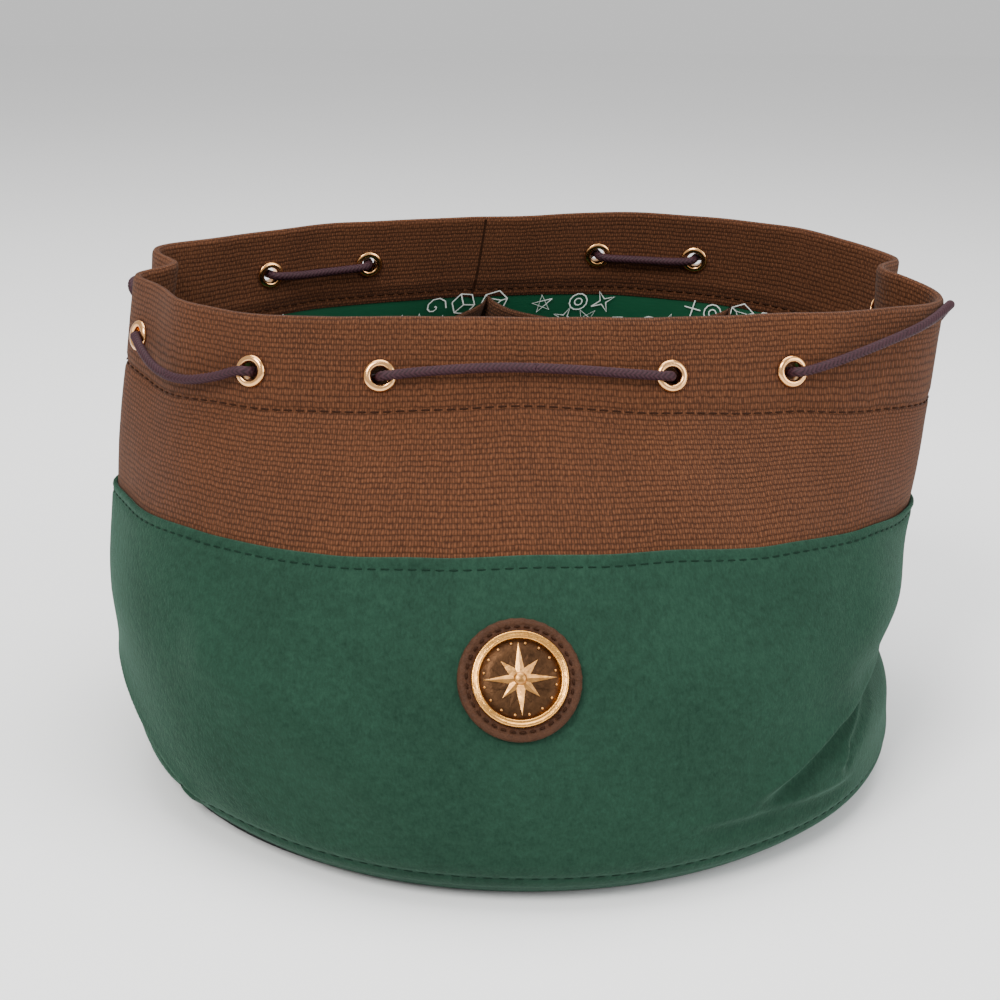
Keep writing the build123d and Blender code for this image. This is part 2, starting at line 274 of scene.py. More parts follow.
# %% The wall itself
def plan(share, height):
    share = share % 1.0
    turn = 2 * np.pi * share
    wide, deep, like_mouth = (column(height, k) for k in (1, 2, 3))
    stops = np.linspace(0, 1, len(MOUTH_LINE))
    rim = np.stack([np.interp(share, stops, MOUTH_LINE[:, k]) for k in (0, 1)], 1)
    shift = BASE_SHIFT * np.clip(1 - height / 50, 0, 1)
    base = np.stack([wide * np.sin(turn) + shift, -deep * np.cos(turn)], 1)
    return (1 - like_mouth)[:, None] * base + like_mouth[:, None] * rim


def inwards(share, height):
    step = 0.0015
    along = plan(share + step, height) - plan(share - step, height)
    along /= np.linalg.norm(along, axis=1)[:, None]
    return np.stack([-along[:, 1], along[:, 0]], 1)


def raise_to(xy, share, height):
    """Plan points in mm raised to their height, in metres."""
    z = height * (1 + RIM_SLOPE * xy[:, 1] / RIM)
    z = z + around(share, RIM_TRIM) * np.clip((height - 60) / 70, 0, 1) ** 1.5
    z = z - around(share, SEAM_DROP) * np.clip(1 - np.abs(height - SEAM) / 45, 0, 1)
    reach = np.where(height > HEM, 9, 19)
    z = z - around(share, HEM_DROP) * np.clip(1 - np.abs(height - HEM) / reach, 0, 1)
    return np.column_stack([xy, z]) * MM


def wall(share, height, depth):
    """Points on the wall; depth is in mm inwards from the canvas face."""
    share, height, depth = np.broadcast_arrays(*(np.asarray(v, float) for v in (share, height, depth)))
    share, height, depth = share.ravel(), height.ravel(), depth.ravel()
    into = (depth - wobble(share, height))[:, None]
    return raise_to(plan(share, height) + inwards(share, height) * into, share, height)


def wall_axes(share, height):
    """A point's directions along the wall, up the wall and outwards."""
    e = 0.003
    along = wall(share + e, height, 0)[0] - wall(share - e, height, 0)[0]
    up = wall(share, height + 1.5, 0)[0] - wall(share, height - 1.5, 0)[0]
    out = Vector(np.cross(along, up)).normalized()
    along = Vector(along).normalized()
    return along, out.cross(along).normalized(), out


# %% [markdown]
# ## Gathering
# When the mouth is gathered, the six eyelet pairs slide inwards and the cloth between them is left as pleats. A
# point of cloth takes a share of the nearest pair's travel: all of it at the eyelets, none below the canvas seam and
# none at the middle of each long span, so neighbouring pieces of cloth stay joined at every stage.

# %% Shares of the travel
ORDER = list(PAIRS)


def span_middle(before, after):
    last, first = PAIRS[before][1], PAIRS[after][0]
    return share_of((last + ((first - last) % MOUTH_LENGTH) / 2) % MOUTH_LENGTH)


LIMITS = {}
for number, name in enumerate(ORDER):
    left = span_middle(ORDER[number - 1], name)
    right = span_middle(name, ORDER[(number + 1) % len(ORDER)])
    if left > right:
        left -= 1
    LIMITS[name] = (left, right)
print("cloth is divided at", {k: tuple(round(x, 3) for x in v) for k, v in LIMITS.items()})


def soft_step(t):
    t = np.clip(t, 0, 1)
    return t * t * (3 - 2 * t)


def travel(name, share, height):
    """The share of a pair's travel that the cloth takes at a place."""
    left, right = LIMITS[name]
    share = (share - left) % 1.0 + left
    first, last = (share_of(v) for v in PAIRS[name])
    if first > right:
        first, last = first - 1, last - 1
    margin = share_of(PLATE_MARGIN)
    rising = soft_step((share - left) / max(first - margin - left, 1e-6))
    falling = soft_step((right - share) / max(right - last - margin, 1e-6))
    return rising * falling * soft_step((height - SEAM + 3) / (HEM - SEAM + 1))


def gather(obj, name, share, height):
    """The cloth follows the bag below and its eyelet pair above."""
    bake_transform(obj, "bag", "gather_" + name, start=(0, 0, 0.078), end=(0, 0, 0.11))
    weight = travel(name, np.asarray(share), np.asarray(height))
    obj.data.attributes["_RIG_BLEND"].data.foreach_set("value", weight.astype(np.float32))
    return obj


# %% [markdown]
# ## Shader maths
# Patterns such as a weave are short sums on coordinates. One small class lets them be written as sums.

# %% A socket that can be added and multiplied
class Val:
    """A number socket in a material."""

    def __init__(self, paint, socket):
        self.paint, self.socket = paint, socket

    def _do(self, operation, *others):
        inputs = [self.socket, *(o.socket if isinstance(o, Val) else o for o in others)]
        return Val(self.paint, self.paint.node("ShaderNodeMath", {"operation": operation}, dict(enumerate(inputs))))

    def __add__(self, o): return self._do("ADD", o)
    def __radd__(self, o): return self._do("ADD", o)
    def __mul__(self, o): return self._do("MULTIPLY", o)
    def __rmul__(self, o): return self._do("MULTIPLY", o)
    def __sub__(self, o): return self._do("SUBTRACT", o)
    def __rsub__(self, o): return (self * -1) + o
    def __truediv__(self, o): return self._do("DIVIDE", o)
    def sin(self): return self._do("SINE")
    def abs(self): return self._do("ABSOLUTE")
    def power(self, o): return self._do("POWER", o)
    def floor(self): return self._do("FLOOR")
    def part(self): return self._do("FRACT")
    def clamp(self): return self._do("MINIMUM", 1.0)._do("MAXIMUM", 0.0)


class Paint:
    """A material and a short way to add nodes to it."""

    def __init__(self, name, **constants):
        self.material = bpy.data.materials.new(name)
        self.material.use_nodes = True
        self.tree = self.material.node_tree
        self.shader = self.tree.nodes["Principled BSDF"]
        for socket, value in constants.items():
            self.shader.inputs[socket.replace("_", " ")].default_value = value

    def node(self, kind, settings=None, inputs=None, output=0):
        node = self.tree.nodes.new(kind)
        for key, value in (settings or {}).items():
            if key == "stops":
                ramp = node.color_ramp.elements
                while len(ramp) < len(value):
                    ramp.new(0.5)
                for element, (at, colour) in zip(ramp, value):
                    element.position, element.color = at, (*colour, 1)
            else:
                setattr(node, key, value)
        for key, value in (inputs or {}).items():
            value = value.socket if isinstance(value, Val) else value
            if isinstance(value, bpy.types.NodeSocket):
                self.tree.links.new(value, node.inputs[key])
            else:
                node.inputs[key].default_value = value
        return node.outputs[output]

    def coordinates(self, uv=False):
        return self.node("ShaderNodeTexCoord", output="UV" if uv else "Object")

    def split(self, vector):
        node = self.tree.nodes.new("ShaderNodeSeparateXYZ")
        self.tree.links.new(vector, node.inputs[0])
        return [Val(self, s) for s in node.outputs]

    def stretch(self, vector, scale):
        return self.node("ShaderNodeMapping", {}, {"Vector": vector, "Scale": scale})

    def noise(self, vector, scale, detail=4.0, rough=0.5):
        inputs = {"Vector": vector, "Scale": scale, "Detail": detail, "Roughness": rough}
        return Val(self, self.node("ShaderNodeTexNoise", {}, inputs))

    def mix(self, factor, a, b):
        def colour(c):
            return (*c, 1) if isinstance(c, tuple) else c
        inputs = {0: factor, 6: colour(a), 7: colour(b)}
        return self.node("ShaderNodeMix", {"data_type": "RGBA"}, inputs, 2)

    def attribute(self, name):
        return Val(self, self.node("ShaderNodeAttribute", {"attribute_name": name}, {}, "Fac"))

    def set(self, socket, value):
        value = value.socket if isinstance(value, Val) else value
        self.tree.links.new(value, self.shader.inputs[socket])

    def bump(self, height, strength, distance):
        inputs = {"Height": height, "Strength": strength, "Distance": distance}
        self.set("Normal", self.node("ShaderNodeBump", {}, inputs))


# %% [markdown]
# ## Cloth finishes
# Suede cloth has a short nap that lies in soft patches. Canvas is a plain weave of thick yarns that are never quite
# even. Both patterns follow the cloth itself, on its own flat coordinates, so they turn with it at every fold.

# %% Suede, canvas, satin and the base cloth
def suede():
    p = Paint("suede", Sheen_Weight=0.3, Sheen_Roughness=0.4, Specular_IOR_Level=0.08)
    p.shader.inputs["Sheen Tint"].default_value = (0.20, 0.36, 0.28, 1)
    flat = p.coordinates(uv=True)
    patches = p.noise(flat, 34, 3, 0.55)
    nap = p.noise(p.stretch(flat, (1, 0.6, 1)), 1500, 3, 0.65)
    fine = p.noise(flat, 420, 4, 0.6)
    tone = (patches - 0.5) * 0.8 + (nap - 0.5) * 1.3 + (fine - 0.5) * 1.1 + 0.5
    p.set("Base Color", p.mix(tone.clamp(), (0.0064, 0.0215, 0.0128), (0.0160, 0.047, 0.0290)))
    p.set("Roughness", 0.86 + (patches - 0.5) * 0.12)
    p.bump(nap * 0.6 + fine * 0.7, 0.6, 0.0006)
    return p.material


def weave(p, flat, pitch):
    """How high the yarns of a plain weave stand."""
    x, y, _ = p.split(flat)
    sway = p.noise(flat, 240, 3) * (1.1 * pitch)
    u = (x + sway) / (pitch * 0.92)
    v = (y + sway) / (pitch * 1.45)
    nub = ((u * math.pi).sin().abs() * (v * math.pi).sin().abs()).power(0.6)
    over = ((u.floor() + v.floor()) / 2).part() * 2
    return nub * (over * 0.4 + 0.6)


def canvas(name, dark, light, pitch=0.00078):
    p = Paint(name, Sheen_Weight=0.04, Sheen_Roughness=0.5, Specular_IOR_Level=0.1)
    flat = p.coordinates(uv=True)
    height = weave(p, flat, pitch)
    slub_x = p.noise(p.stretch(flat, (60, 1300, 1)), 1.0, 2)
    slub_y = p.noise(p.stretch(flat, (1300, 60, 1)), 1.0, 2)
    patches = p.noise(flat, 26, 4, 0.6)
    nubs = p.noise(flat, 1150, 2)
    slubs = (slub_x + slub_y - 1.0) * 0.3
    # The weave's height also sets the colour: the gaps between the yarns and the yarns that pass under are painted
    # darker and the yarn tops lighter, which is painted shade and light; the slubs, patches and nubs are the yarns'
    # own uneven tone.
    tone = height * 0.95 + slubs + (patches - 0.5) * 0.4 + (nubs - 0.5) * 1.1 - 0.05
    p.set("Base Color", p.mix(tone.clamp(), dark, light))
    p.set("Roughness", 0.84 + (patches - 0.5) * 0.15)
    p.bump(height + (slub_x + slub_y) * 0.5, 0.55, 0.0004)
    return p.material


def satin():
    p = Paint("lining_satin", Specular_IOR_Level=0.5)
    flat = p.coordinates(uv=True)
    threads = p.noise(p.stretch(flat, (240, 2600, 1)), 1.0, 2)
    patches = p.noise(flat, 40, 2)
    tone = threads * 0.5 + patches * 0.5
    p.set("Base Color", p.mix(tone.clamp(), (0.003, 0.052, 0.022), (0.007, 0.090, 0.042)))
    p.set("Roughness", 0.38 + threads * 0.15)
    p.bump(threads, 0.2, 0.0002)
    return p.material


def print_ink():
    p = Paint("print_ink", Specular_IOR_Level=0.4)
    grain = p.noise(p.coordinates(), 2200, 2)
    p.set("Base Color", p.mix(grain, (0.66, 0.72, 0.67), (0.86, 0.9, 0.86)))
    p.set("Roughness", 0.5 + grain * 0.1)
    return p.material


def thread(name, dark, light):
    p = Paint(name, Specular_IOR_Level=0.08)
    where = p.coordinates()
    twist = p.noise(where, 2400, 2)
    p.set("Base Color", p.mix(twist, dark, light))
    p.set("Roughness", 0.6 + twist * 0.2)
    p.bump(twist, 0.3, 0.0002)
    return p.material


SUEDE = suede()
CANVAS = canvas("canvas_outside", (0.032, 0.0108, 0.0042), (0.122, 0.0455, 0.0190))
CANVAS_INSIDE = canvas("canvas_pocket", (0.030, 0.012, 0.006), (0.110, 0.046, 0.022))
SATIN = satin()
INK = print_ink()
BASE_CLOTH = canvas("base_cloth", (0.010, 0.012, 0.012), (0.045, 0.05, 0.048))
# Both threads keep their own brown and green but are painted darker than the cloth they hold, so that the stitch rows
# show as dark lines. This is partly the threads' own colour and partly painted shade of the stitch holes.
BROWN_THREAD = thread("brown_thread", (0.012, 0.0045, 0.002), (0.034, 0.0125, 0.0055))
GREEN_THREAD = thread("green_thread", (0.003, 0.012, 0.007), (0.006, 0.022, 0.013))

# %% [markdown]
# ## Sheets of cloth
# A sheet starts as a flat grid of cloth and is then hung on the wall. Each row of the grid has a height and a depth,
# so a path of rows can climb the outside, roll over the rim and come down the inside, as a folded hem does.

# %% Hang a grid of cloth on the wall
def finish_piece(mesh, name, material):
    obj = bpy.data.objects.new(name, mesh)
    bpy.context.scene.collection.objects.link(obj)
    obj.data.materials.append(material)
    return obj


def grid_of(columns, rows, place, closed=False):
    """A flat grid with each corner moved to place(u, v); its UV map is in metres of cloth."""
    bm = bmesh.new()
    bmesh.ops.create_grid(bm, x_segments=columns, y_segments=rows, size=0.5, calc_uvs=False)
    bm.verts.ensure_lookup_table()
    flat = np.array([v.co[:2] for v in bm.verts]) + 0.5
    flat = np.round(flat * [columns, rows]) / [columns, rows]
    points, cloth, extra = place(flat[:, 0], flat[:, 1])
    uv = bm.loops.layers.uv.new("cloth")
    for v, at in zip(bm.verts, points):
        v.co = at
    for face in bm.faces:
        for loop in face.loops:
            loop[uv].uv = cloth[loop.vert.index]
        face.smooth = True
    layers = {key: bm.verts.layers.float.new(key) for key in extra}
    for key, layer in layers.items():
        for v, value in zip(bm.verts, extra[key]):
            v[layer] = value
    if closed:
        bmesh.ops.remove_doubles(bm, verts=bm.verts, dist=1e-6)
    return bm


def to_mesh(bm, name):
    mesh = bpy.data.meshes.new(name)
    bm.to_mesh(mesh)
    bm.free()
    return mesh


def values(obj, key):
    out = np.zeros(len(obj.data.vertices), np.float32)
    obj.data.attributes[key].data.foreach_get("value", out)
    return out.astype(float)


def path_points(path, v):
    """Heights and depths along a path of rows, evenly by length."""
    path = np.array(path, float)
    run = np.r_[0, np.cumsum(np.linalg.norm(np.diff(path, axis=0), axis=1))]
    at = v * run[-1]
    return np.interp(at, run, path[:, 0]), np.interp(at, run, path[:, 1]), at


def layer(name, path, start, end, columns, rows, material, slot, shape=wall, closed=False):
    """A sheet of cloth from one share of the way round to another, along a path of rows."""
    def place(u, v):
        share = start + (end - start) * u
        height, depth, run = path_points(path, v)
        cloth = np.column_stack([share * CLOTH_LENGTH, run * MM])
        return shape(share, height, depth), cloth, {"share_round": share, "height_mm": height}
    bm = grid_of(columns, rows, place, closed)
    return finish_piece(to_mesh(bm, name), name, material)


# %% [markdown]
# ## The green lower wall
# It is one tube of suede cloth. Its top edge is turned under and stitched over the canvas, and its foot is sewn to
# the base and rolls under it. The creases come from the way the full wall sits down on the base.

# %% Lower wall
GREEN_PATH = [
    (0.9, 3.2), (0.6, 1.2), (0.9, -0.4), (1.8, -1.1), (3.2, -1.1), (4.6, -0.75), (5.6, -0.95), (10, -0.9),
    (79.6, -0.9), (80.4, -0.95), (80.9, -0.7), (81.05, -0.3), (80.9, 0.1), (80.2, 0.3), (72.0, 0.3),
]
lower_wall = layer("lower_wall_cloth", GREEN_PATH, 0.0, 1.0, 600, 150, SUEDE, "suede", closed=True)
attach(lower_wall, "bag")
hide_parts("lower_wall")
print("lower wall faces", len(lower_wall.data.polygons))

# %% [markdown]
# ## The canvas and its hem
# One strip of canvas goes up the outside, rolls over the rim and comes down inside to a stitched edge. It is made in
# six lengths that meet in the middle of the long spans, one for each eyelet pair.

# %% Canvas in six lengths
CANVAS_PATH = [
    (73.0, 0.5), (109.0, 0.5), (110.1, 0.72), (110.7, 0.72), (111.8, 0.5), (128.2, 0.4), (129.0, 0.6),
    (129.45, 1.1),
    (129.5, 1.65), (129.35, 2.2), (128.8, 2.65), (128.0, 2.8), (108.6, 2.7), (107.6, 2.4), (106.6, 2.7),
    (FACING_EDGE + 0.5, 2.75), (FACING_EDGE, 2.5), (FACING_EDGE + 0.1, 2.2),
]
HOLE_R = 0.0031


def columns_for(name, in_a_round, least):
    """How many columns of grid one length of cloth gets, from the count for the whole round."""
    left, right = LIMITS[name]
    return max(least, round((right - left) * in_a_round))


def punch(obj, name):
    """Open the canvas at its two eyelets; the cut edge is covered by the flange."""
    bm = bmesh.new()
    bm.from_mesh(obj.data)
    middles = [Vector(wall(share_of(hole), RIM - EYELET_DROP, 1.6)[0]) for hole in PAIRS[name]]
    gone = [f for f in bm.faces if min((f.calc_center_median() - m).length for m in middles) < HOLE_R]
    bmesh.ops.delete(bm, geom=gone, context="FACES")
    bm.to_mesh(obj.data)
    bm.free()


for name in ORDER:
    left, right = LIMITS[name]
    columns = columns_for(name, 560, 36)
    strip = layer(f"canvas_{name}", CANVAS_PATH, left, right, columns, 96, CANVAS, "canvas")
    punch(strip, name)
    gather(strip, name, values(strip, "share_round"), values(strip, "height_mm"))
    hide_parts("hem_" + name)
    if name == "front_right":
        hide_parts("upper_wall")
    following = ORDER[(ORDER.index(name) + 1) % len(ORDER)]
    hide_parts(f"hem_span_{name}_to_{following}")
print("canvas lengths", len(ORDER))

# %% [markdown]
# ## Lining and pockets
# The lining hangs just inside the wall. The pocket band is longer than the wall it is sewn to, so between its seams
# it bows into the bag and its top edge dips.

# %% Lining
LINING_PATH = [(5.0, 2.9), (60, 2.7), (108.6, 2.35)]
for name in ORDER:
    left, right = LIMITS[name]
    columns = columns_for(name, 260, 24)
    piece = layer(f"lining_{name}", LINING_PATH, left, right, columns, 40, SATIN, "lining")
    piece.data.flip_normals()
    gather(piece, name, values(piece, "share_round"), values(piece, "height_mm"))
    if name == "front_right":
        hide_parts("lining_wall")


# %% Pocket band
POCKET_BOW, POCKET_DIP, DIP_FROM = 15.0, 7.0, 60.0


def pocket_wall(share, height, depth):
    """The pocket band's points: sewn down at its seams and bowed between them."""
    seams = np.array([*POCKET_SEAMS, POCKET_SEAMS[0] + 1])
    placed = (share - seams[0]) % 1.0 + seams[0]
    number = np.clip(np.searchsorted(seams, placed, side="right") - 1, 0, len(POCKET_SEAMS) - 1)
    start, end = seams[number], seams[number + 1]
    cell = (placed - start) / (end - start)
    chord = plan(end, height) - plan(start, height)
    inward = np.stack([-chord[:, 1], chord[:, 0]], 1) / np.linalg.norm(chord, axis=1)[:, None]
    up = np.clip((height - POCKET_FOOT) / (POCKET_TOP - POCKET_FOOT), 0, 1)
    arch = np.sin(np.pi * cell) ** 0.55
    bow = (POCKET_BOW * up + 1.2 * np.sin(cell * 19 + start * 40) * up) * arch
    dipped = height - POCKET_DIP * arch * np.clip((height - DIP_FROM) / (POCKET_TOP - DIP_FROM), 0, 1) ** 2
    into = (depth - wobble(share, height))[:, None]
    return raise_to(plan(share, height) + inwards(share, height) * into + inward * bow[:, None], share, dipped)


POCKET_PATH = [
    (POCKET_FOOT, 3.2), (105.6, 3.2), (106.6, 3.3), (POCKET_TOP, 3.8), (106.6, 4.3), (105.6, 4.4), (99.0, 4.3),
    (98.4, 4.1), (POCKET_FOOT, 4.0),
]
for name in ORDER:
    left, right = LIMITS[name]
    columns = columns_for(name, 420, 36)
    band = layer(
        f"pocket_band_{name}", POCKET_PATH, left, right, columns, 90, CANVAS_INSIDE, "canvas", pocket_wall,
    )
    gather(band, name, values(band, "share_round"), values(band, "height_mm"))
    if name == "front_right":
        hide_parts(*(f"pocket_{i + 1}" for i in range(len(POCKET_SEAMS))))

# %% [markdown]
# ## The base
# A round of dark cloth outside, a stiff board in the middle and a round of lining inside. The board is hidden and
# stays as it is; the two rounds are turned as shallow discs with soft edges.

# %% Base rounds
def turn_outline(bm, profile, steps, closed=False):
    """Turn an outline of (radius, height) stops in mm about the Z axis."""
    stops = [bm.verts.new((r * MM, 0, z * MM)) for r, z in profile]
    following = stops[1:] + stops[:1] if closed else stops[1:]
    edges = [bm.edges.new(pair) for pair in zip(stops, following)]
    bmesh.ops.spin(
        bm, geom=stops + edges, cent=(0, 0, 0), axis=(0, 0, 1), angle=2 * math.pi, steps=steps, use_merge=True,
    )


def smooth(bm):
    bmesh.ops.recalc_face_normals(bm, faces=bm.faces)
    for face in bm.faces:
        face.smooth = True


def turned(name, profile, steps, material):
    """A closed shape turned about the upright axis from (radius, height) stops in mm."""
    bm = bmesh.new()
    turn_outline(bm, profile, steps)
    bmesh.ops.remove_doubles(bm, verts=bm.verts, dist=1e-6)
    smooth(bm)
    bmesh.ops.translate(bm, vec=(BASE_SHIFT * MM, 0, 0), verts=bm.verts)
    uv = bm.loops.layers.uv.new("cloth")
    for face in bm.faces:
        for loop in face.loops:
            loop[uv].uv = loop.vert.co[:2]
    return finish_piece(to_mesh(bm, name), name, material)


BASE_OUTLINE = [(0, 0), (60, 0), (98.6, 0.1), (99.9, 0.35), (100.5, 0.9), (100.2, 1.5), (99, 1.6), (0, 1.5)]
FLOOR_OUTLINE = [
    (0, 3.8), (60, 3.75), (98, 3.7), (101, 4.6), (103, 6.5), (102.6, 7.0), (100, 5.0), (97, 4.4), (60, 4.5),
    (0, 4.6),
]
base_round = turned("base_round", BASE_OUTLINE, 160, BASE_CLOTH)
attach(base_round, "bag")
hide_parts("base_panel")
lining_round = turned("lining_round", FLOOR_OUTLINE, 160, SATIN)
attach(lining_round, "bag")
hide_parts("base_lining")
board = Paint("board_grey")
board.set("Base Color", board.mix(board.noise(board.coordinates(), 300), (0.16, 0.14, 0.12), (0.24, 0.22, 0.19)))
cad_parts["base_board"].data.materials.clear()
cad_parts["base_board"].data.materials.append(board.material)

# %% [markdown]
# ## Eyelets
# A two-part brass eyelet: the face has a rounded flange and a barrel, and the barrel's end is rolled over a washer on
# the inside of the hem. The shape is turned from one outline about its own axis and set square to the cloth.

# %% Brass
def metal(name, dark, light, rough):
    p = Paint(name, Metallic=1.0)
    where = p.coordinates()
    tarnish = p.noise(where, 160, 5, 0.6)
    scratches = p.noise(p.stretch(where, (260, 1700, 260)), 1.0, 3)
    p.set("Base Color", p.mix(tarnish, dark, light))
    p.set("Roughness", (scratches * 0.18 + tarnish * 0.14 + rough).clamp())
    p.bump(scratches + tarnish, 0.08, 0.0002)
    return p.material


EYELET_METAL = metal("eyelet_copper_brass", (0.72, 0.33, 0.11), (0.96, 0.55, 0.24), 0.04)
FLANGE = [
    (2.25, 0.55), (2.35, 0.85), (2.75, 1.12), (3.2, 1.15), (3.7, 1.0), (4.1, 0.62), (4.22, 0.2), (4.1, 0.0),
    (2.9, 0.0), (2.8, -2.6), (3.9, -2.75), (4.05, -2.95), (3.85, -3.2), (3.3, -3.35), (2.7, -3.4), (2.35, -3.2),
    (2.2, -2.8),
]


def spun(bm, profile, steps, place):
    """Turn a closed outline about the Z axis, then set it in place."""
    before = set(bm.verts)
    turn_outline(bm, profile, steps, closed=True)
    fresh = [v for v in bm.verts if v not in before]
    bmesh.ops.transform(bm, matrix=place, verts=fresh)


def axes_matrix(along, up, out, at):
    turn = Matrix((along, up, out)).transposed().to_4x4()
    turn.translation = at
    return turn


def eyelet_place(distance, depth):
    share = share_of(distance)
    along, up, out = wall_axes(share, RIM - EYELET_DROP)
    at = Vector(wall(share, RIM - EYELET_DROP, depth)[0])
    return axes_matrix(along, up, out, at)


for name, holes in PAIRS.items():
    bm = bmesh.new()
    for hole in holes:
        spun(bm, FLANGE, 36, eyelet_place(hole, 0.35))
    smooth(bm)
    rings = finish_piece(to_mesh(bm, "eyelets"), f"eyelet_rings_{name}", EYELET_METAL)
    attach(rings, "gather_" + name)
    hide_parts("eyelets_" + name, "washers_" + name)
    mine = rings.data.vertices[0].co * 1000
    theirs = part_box("eyelets_" + name)
    print(name, "eyelets at", [round(v) for v in mine], "CAD box", [[round(v * 1000) for v in c] for c in theirs])

# %% [markdown]
# ## The braided cord
# The cord is a round braid: strands turn both ways round it and pass over and under each other, which shows as two
# columns of small V's. Its route is drawn through given points; the braid is then laid on that line.

# %% A line along chosen points
def route_line(points):
    """The smooth line near the chosen control points, read back from a NURBS curve."""
    curve = bpy.data.curves.new("route", "CURVE")
    curve.dimensions = "3D"
    spline = curve.splines.new("NURBS")
    spline.points.add(len(points) - 1)
    for stop, at in zip(spline.points, points):
        stop.co = (*at, 1)
    spline.order_u = 3
    spline.use_endpoint_u = True
    spline.resolution_u = 12
    holder = bpy.data.objects.new("route", curve)
    mesh = bpy.data.meshes.new_from_object(holder)
    line = np.array([v.co for v in mesh.vertices])
    bpy.data.objects.remove(holder)
    bpy.data.curves.remove(curve)
    bpy.data.meshes.remove(mesh)
    return line


def even_line(line, step):
    run = np.r_[0, np.cumsum(np.linalg.norm(np.diff(line, axis=0), axis=1))]
    count = max(2, round(run[-1] / step))
    at = np.linspace(0, run[-1], count + 1)
    return np.stack([np.interp(at, run, line[:, k]) for k in range(3)], 1), at


def tube_grid(name, line, radius_at, around_count, step, material):
    """A tube along a line; radius_at(angle, run) gives its radius, so a braid can be laid on it."""
    points, run = even_line(line, step)
    way = np.gradient(points, axis=0)
    way /= np.linalg.norm(way, axis=1)[:, None]
    side = np.cross(way[0], (0, 0, 1.0))
    side = np.cross(way[0], (1.0, 0, 0)) if np.linalg.norm(side) < 0.2 else side
    sides = []
    for k in range(len(points)):
        side = side - way[k] * (side @ way[k])
        side = side / np.linalg.norm(side)
        sides.append(side)
    sides = np.array(sides)
    others = np.cross(way, sides)
    rows = len(points) - 1

    def place(u, v):
        k = np.round(v * rows).astype(int)
        angle = 2 * np.pi * u
        r = radius_at(angle, run[k])
        at = points[k] + r[:, None] * (np.cos(angle)[:, None] * sides[k] + np.sin(angle)[:, None] * others[k])
        return at, np.column_stack([u * 0.0075, run[k]]), {"strand_height": r / r.max()}

    bm = grid_of(around_count, rows, place, closed=True)
    bmesh.ops.recalc_face_normals(bm, faces=bm.faces)
    bmesh.ops.holes_fill(bm, edges=[e for e in bm.edges if e.is_boundary], sides=0)
    return finish_piece(to_mesh(bm, name), name, material)


STRANDS, LAY = 6, 0.0072
BRAID_AROUND, BRAID_STEP = 42, 0.0003


def braid(radius):
    """Radius of a round braid: strands of two hands that take turns on top."""
    def at(angle, run):
        turn = 2 * np.pi * run / LAY
        right = np.abs(np.cos(STRANDS / 2 * (angle - turn)))
        left = np.abs(np.cos(STRANDS / 2 * (angle + turn)))
        over = 0.5 + 0.5 * np.tanh(4 * np.sin(3 * angle))
        high = right * over + left * (1 - over)
        return radius * (0.72 + 0.34 * np.sqrt(np.clip(high, 0, 1)))
    return at


def cord_fibre():
    p = Paint("cord_braid", Specular_IOR_Level=0.22)
    flat = p.coordinates(uv=True)
    fibre = p.noise(p.stretch(flat, (5200, 1500, 1)), 1.0, 2)
    patches = p.noise(flat, 220, 2)
    # The strand height darkens the colour in the grooves between strands and lightens their tops: painted shade and
    # light of the braid. The fibre and patches are the cord's own uneven tone.
    strands = ((p.attribute("strand_height") - 0.72) * 3.8).clamp()
    tone = strands * 0.85 + (fibre - 0.5) * 0.4 + (patches - 0.5) * 0.3
    p.set("Base Color", p.mix(tone.clamp(), (0.0030, 0.0010, 0.0016), (0.042, 0.0135, 0.0200)))
    p.set("Roughness", 0.55 + fibre * 0.2)
    p.bump(fibre, 0.3, 0.0002)
    return p.material


CORD_FINISH = cord_fibre()


def braided(name, line, radius):
    return tube_grid(name, line, braid(radius), BRAID_AROUND, BRAID_STEP, CORD_FINISH)


# %% Lace the cord
OUTSIDE, INSIDE = -2.3, 5.6
CORD_H = RIM - EYELET_DROP


def on_wall(distance, height, depth):
    return wall(share_of(distance), height, depth)[0]


def beside(distance, height, depth):
    """A point square in from the canvas face, so that it follows the wall's lean."""
    share = share_of(distance)
    out = wall_axes(share, height)[2]
    return wall(share, height, 0)[0] - np.array(out) * depth * MM


def hole_points(distance, way):
    return [
        beside(distance - way * 2.6, CORD_H, -1.9), beside(distance - way * 0.5, CORD_H, -1.5),
        beside(distance, CORD_H, 1.2), beside(distance + way * 0.4, CORD_H, 4.2),
        beside(distance + way * 2.8, CORD_H - 0.2, 5.2),
    ]


# inner bights: how far each hangs below the eyelets, in mm
SAG_INSIDE = {"front_right": 0.6, "right": 1.0, "back_right": 0.3, "back_left": 0.5, "left": 1.0, "front_left": 0.6}
# outer runs, by the pair they leave: (part of the run, height change, extra stand-off)
OUTER = {
    "front_right": [(0.15, 1.4, 0.2), (0.36, 4.4, 0.2), (0.58, 8.0, 0.2), (0.78, 12.0, 0.0), (0.9, 7.0, -0.2)],
    "right": [(0.2, 0.0, 0.6), (0.4, 0.5, 0.8), (0.6, 0.5, 0.8), (0.8, 0.0, 0.4)],
    "back_left": [(0.2, -0.6, 0.2), (0.4, -1.0, 0.4), (0.6, 1.0, 0.8), (0.86, 4.5, 2.4), (0.95, 2.5, 3.6)],
    "left": [(0.2, -1.0, 1.2), (0.4, -2.8, 1.0), (0.6, -3.6, 0.6), (0.8, -2.2, 0.2)],
    "front_left": [(0.15, 0.6, 0.2), (0.4, 1.3, 0.3), (0.65, 0.9, 0.3), (0.85, 0.3, 0.2)],
}


def outer_points(before, after):
    last, first = PAIRS[before][1], PAIRS[after][0]
    gap = (first - last) % MOUTH_LENGTH
    return [
        (last + gap * part, beside(last + gap * part, CORD_H + change, OUTSIDE - off))
        for part, change, off in OUTER[before]
    ]


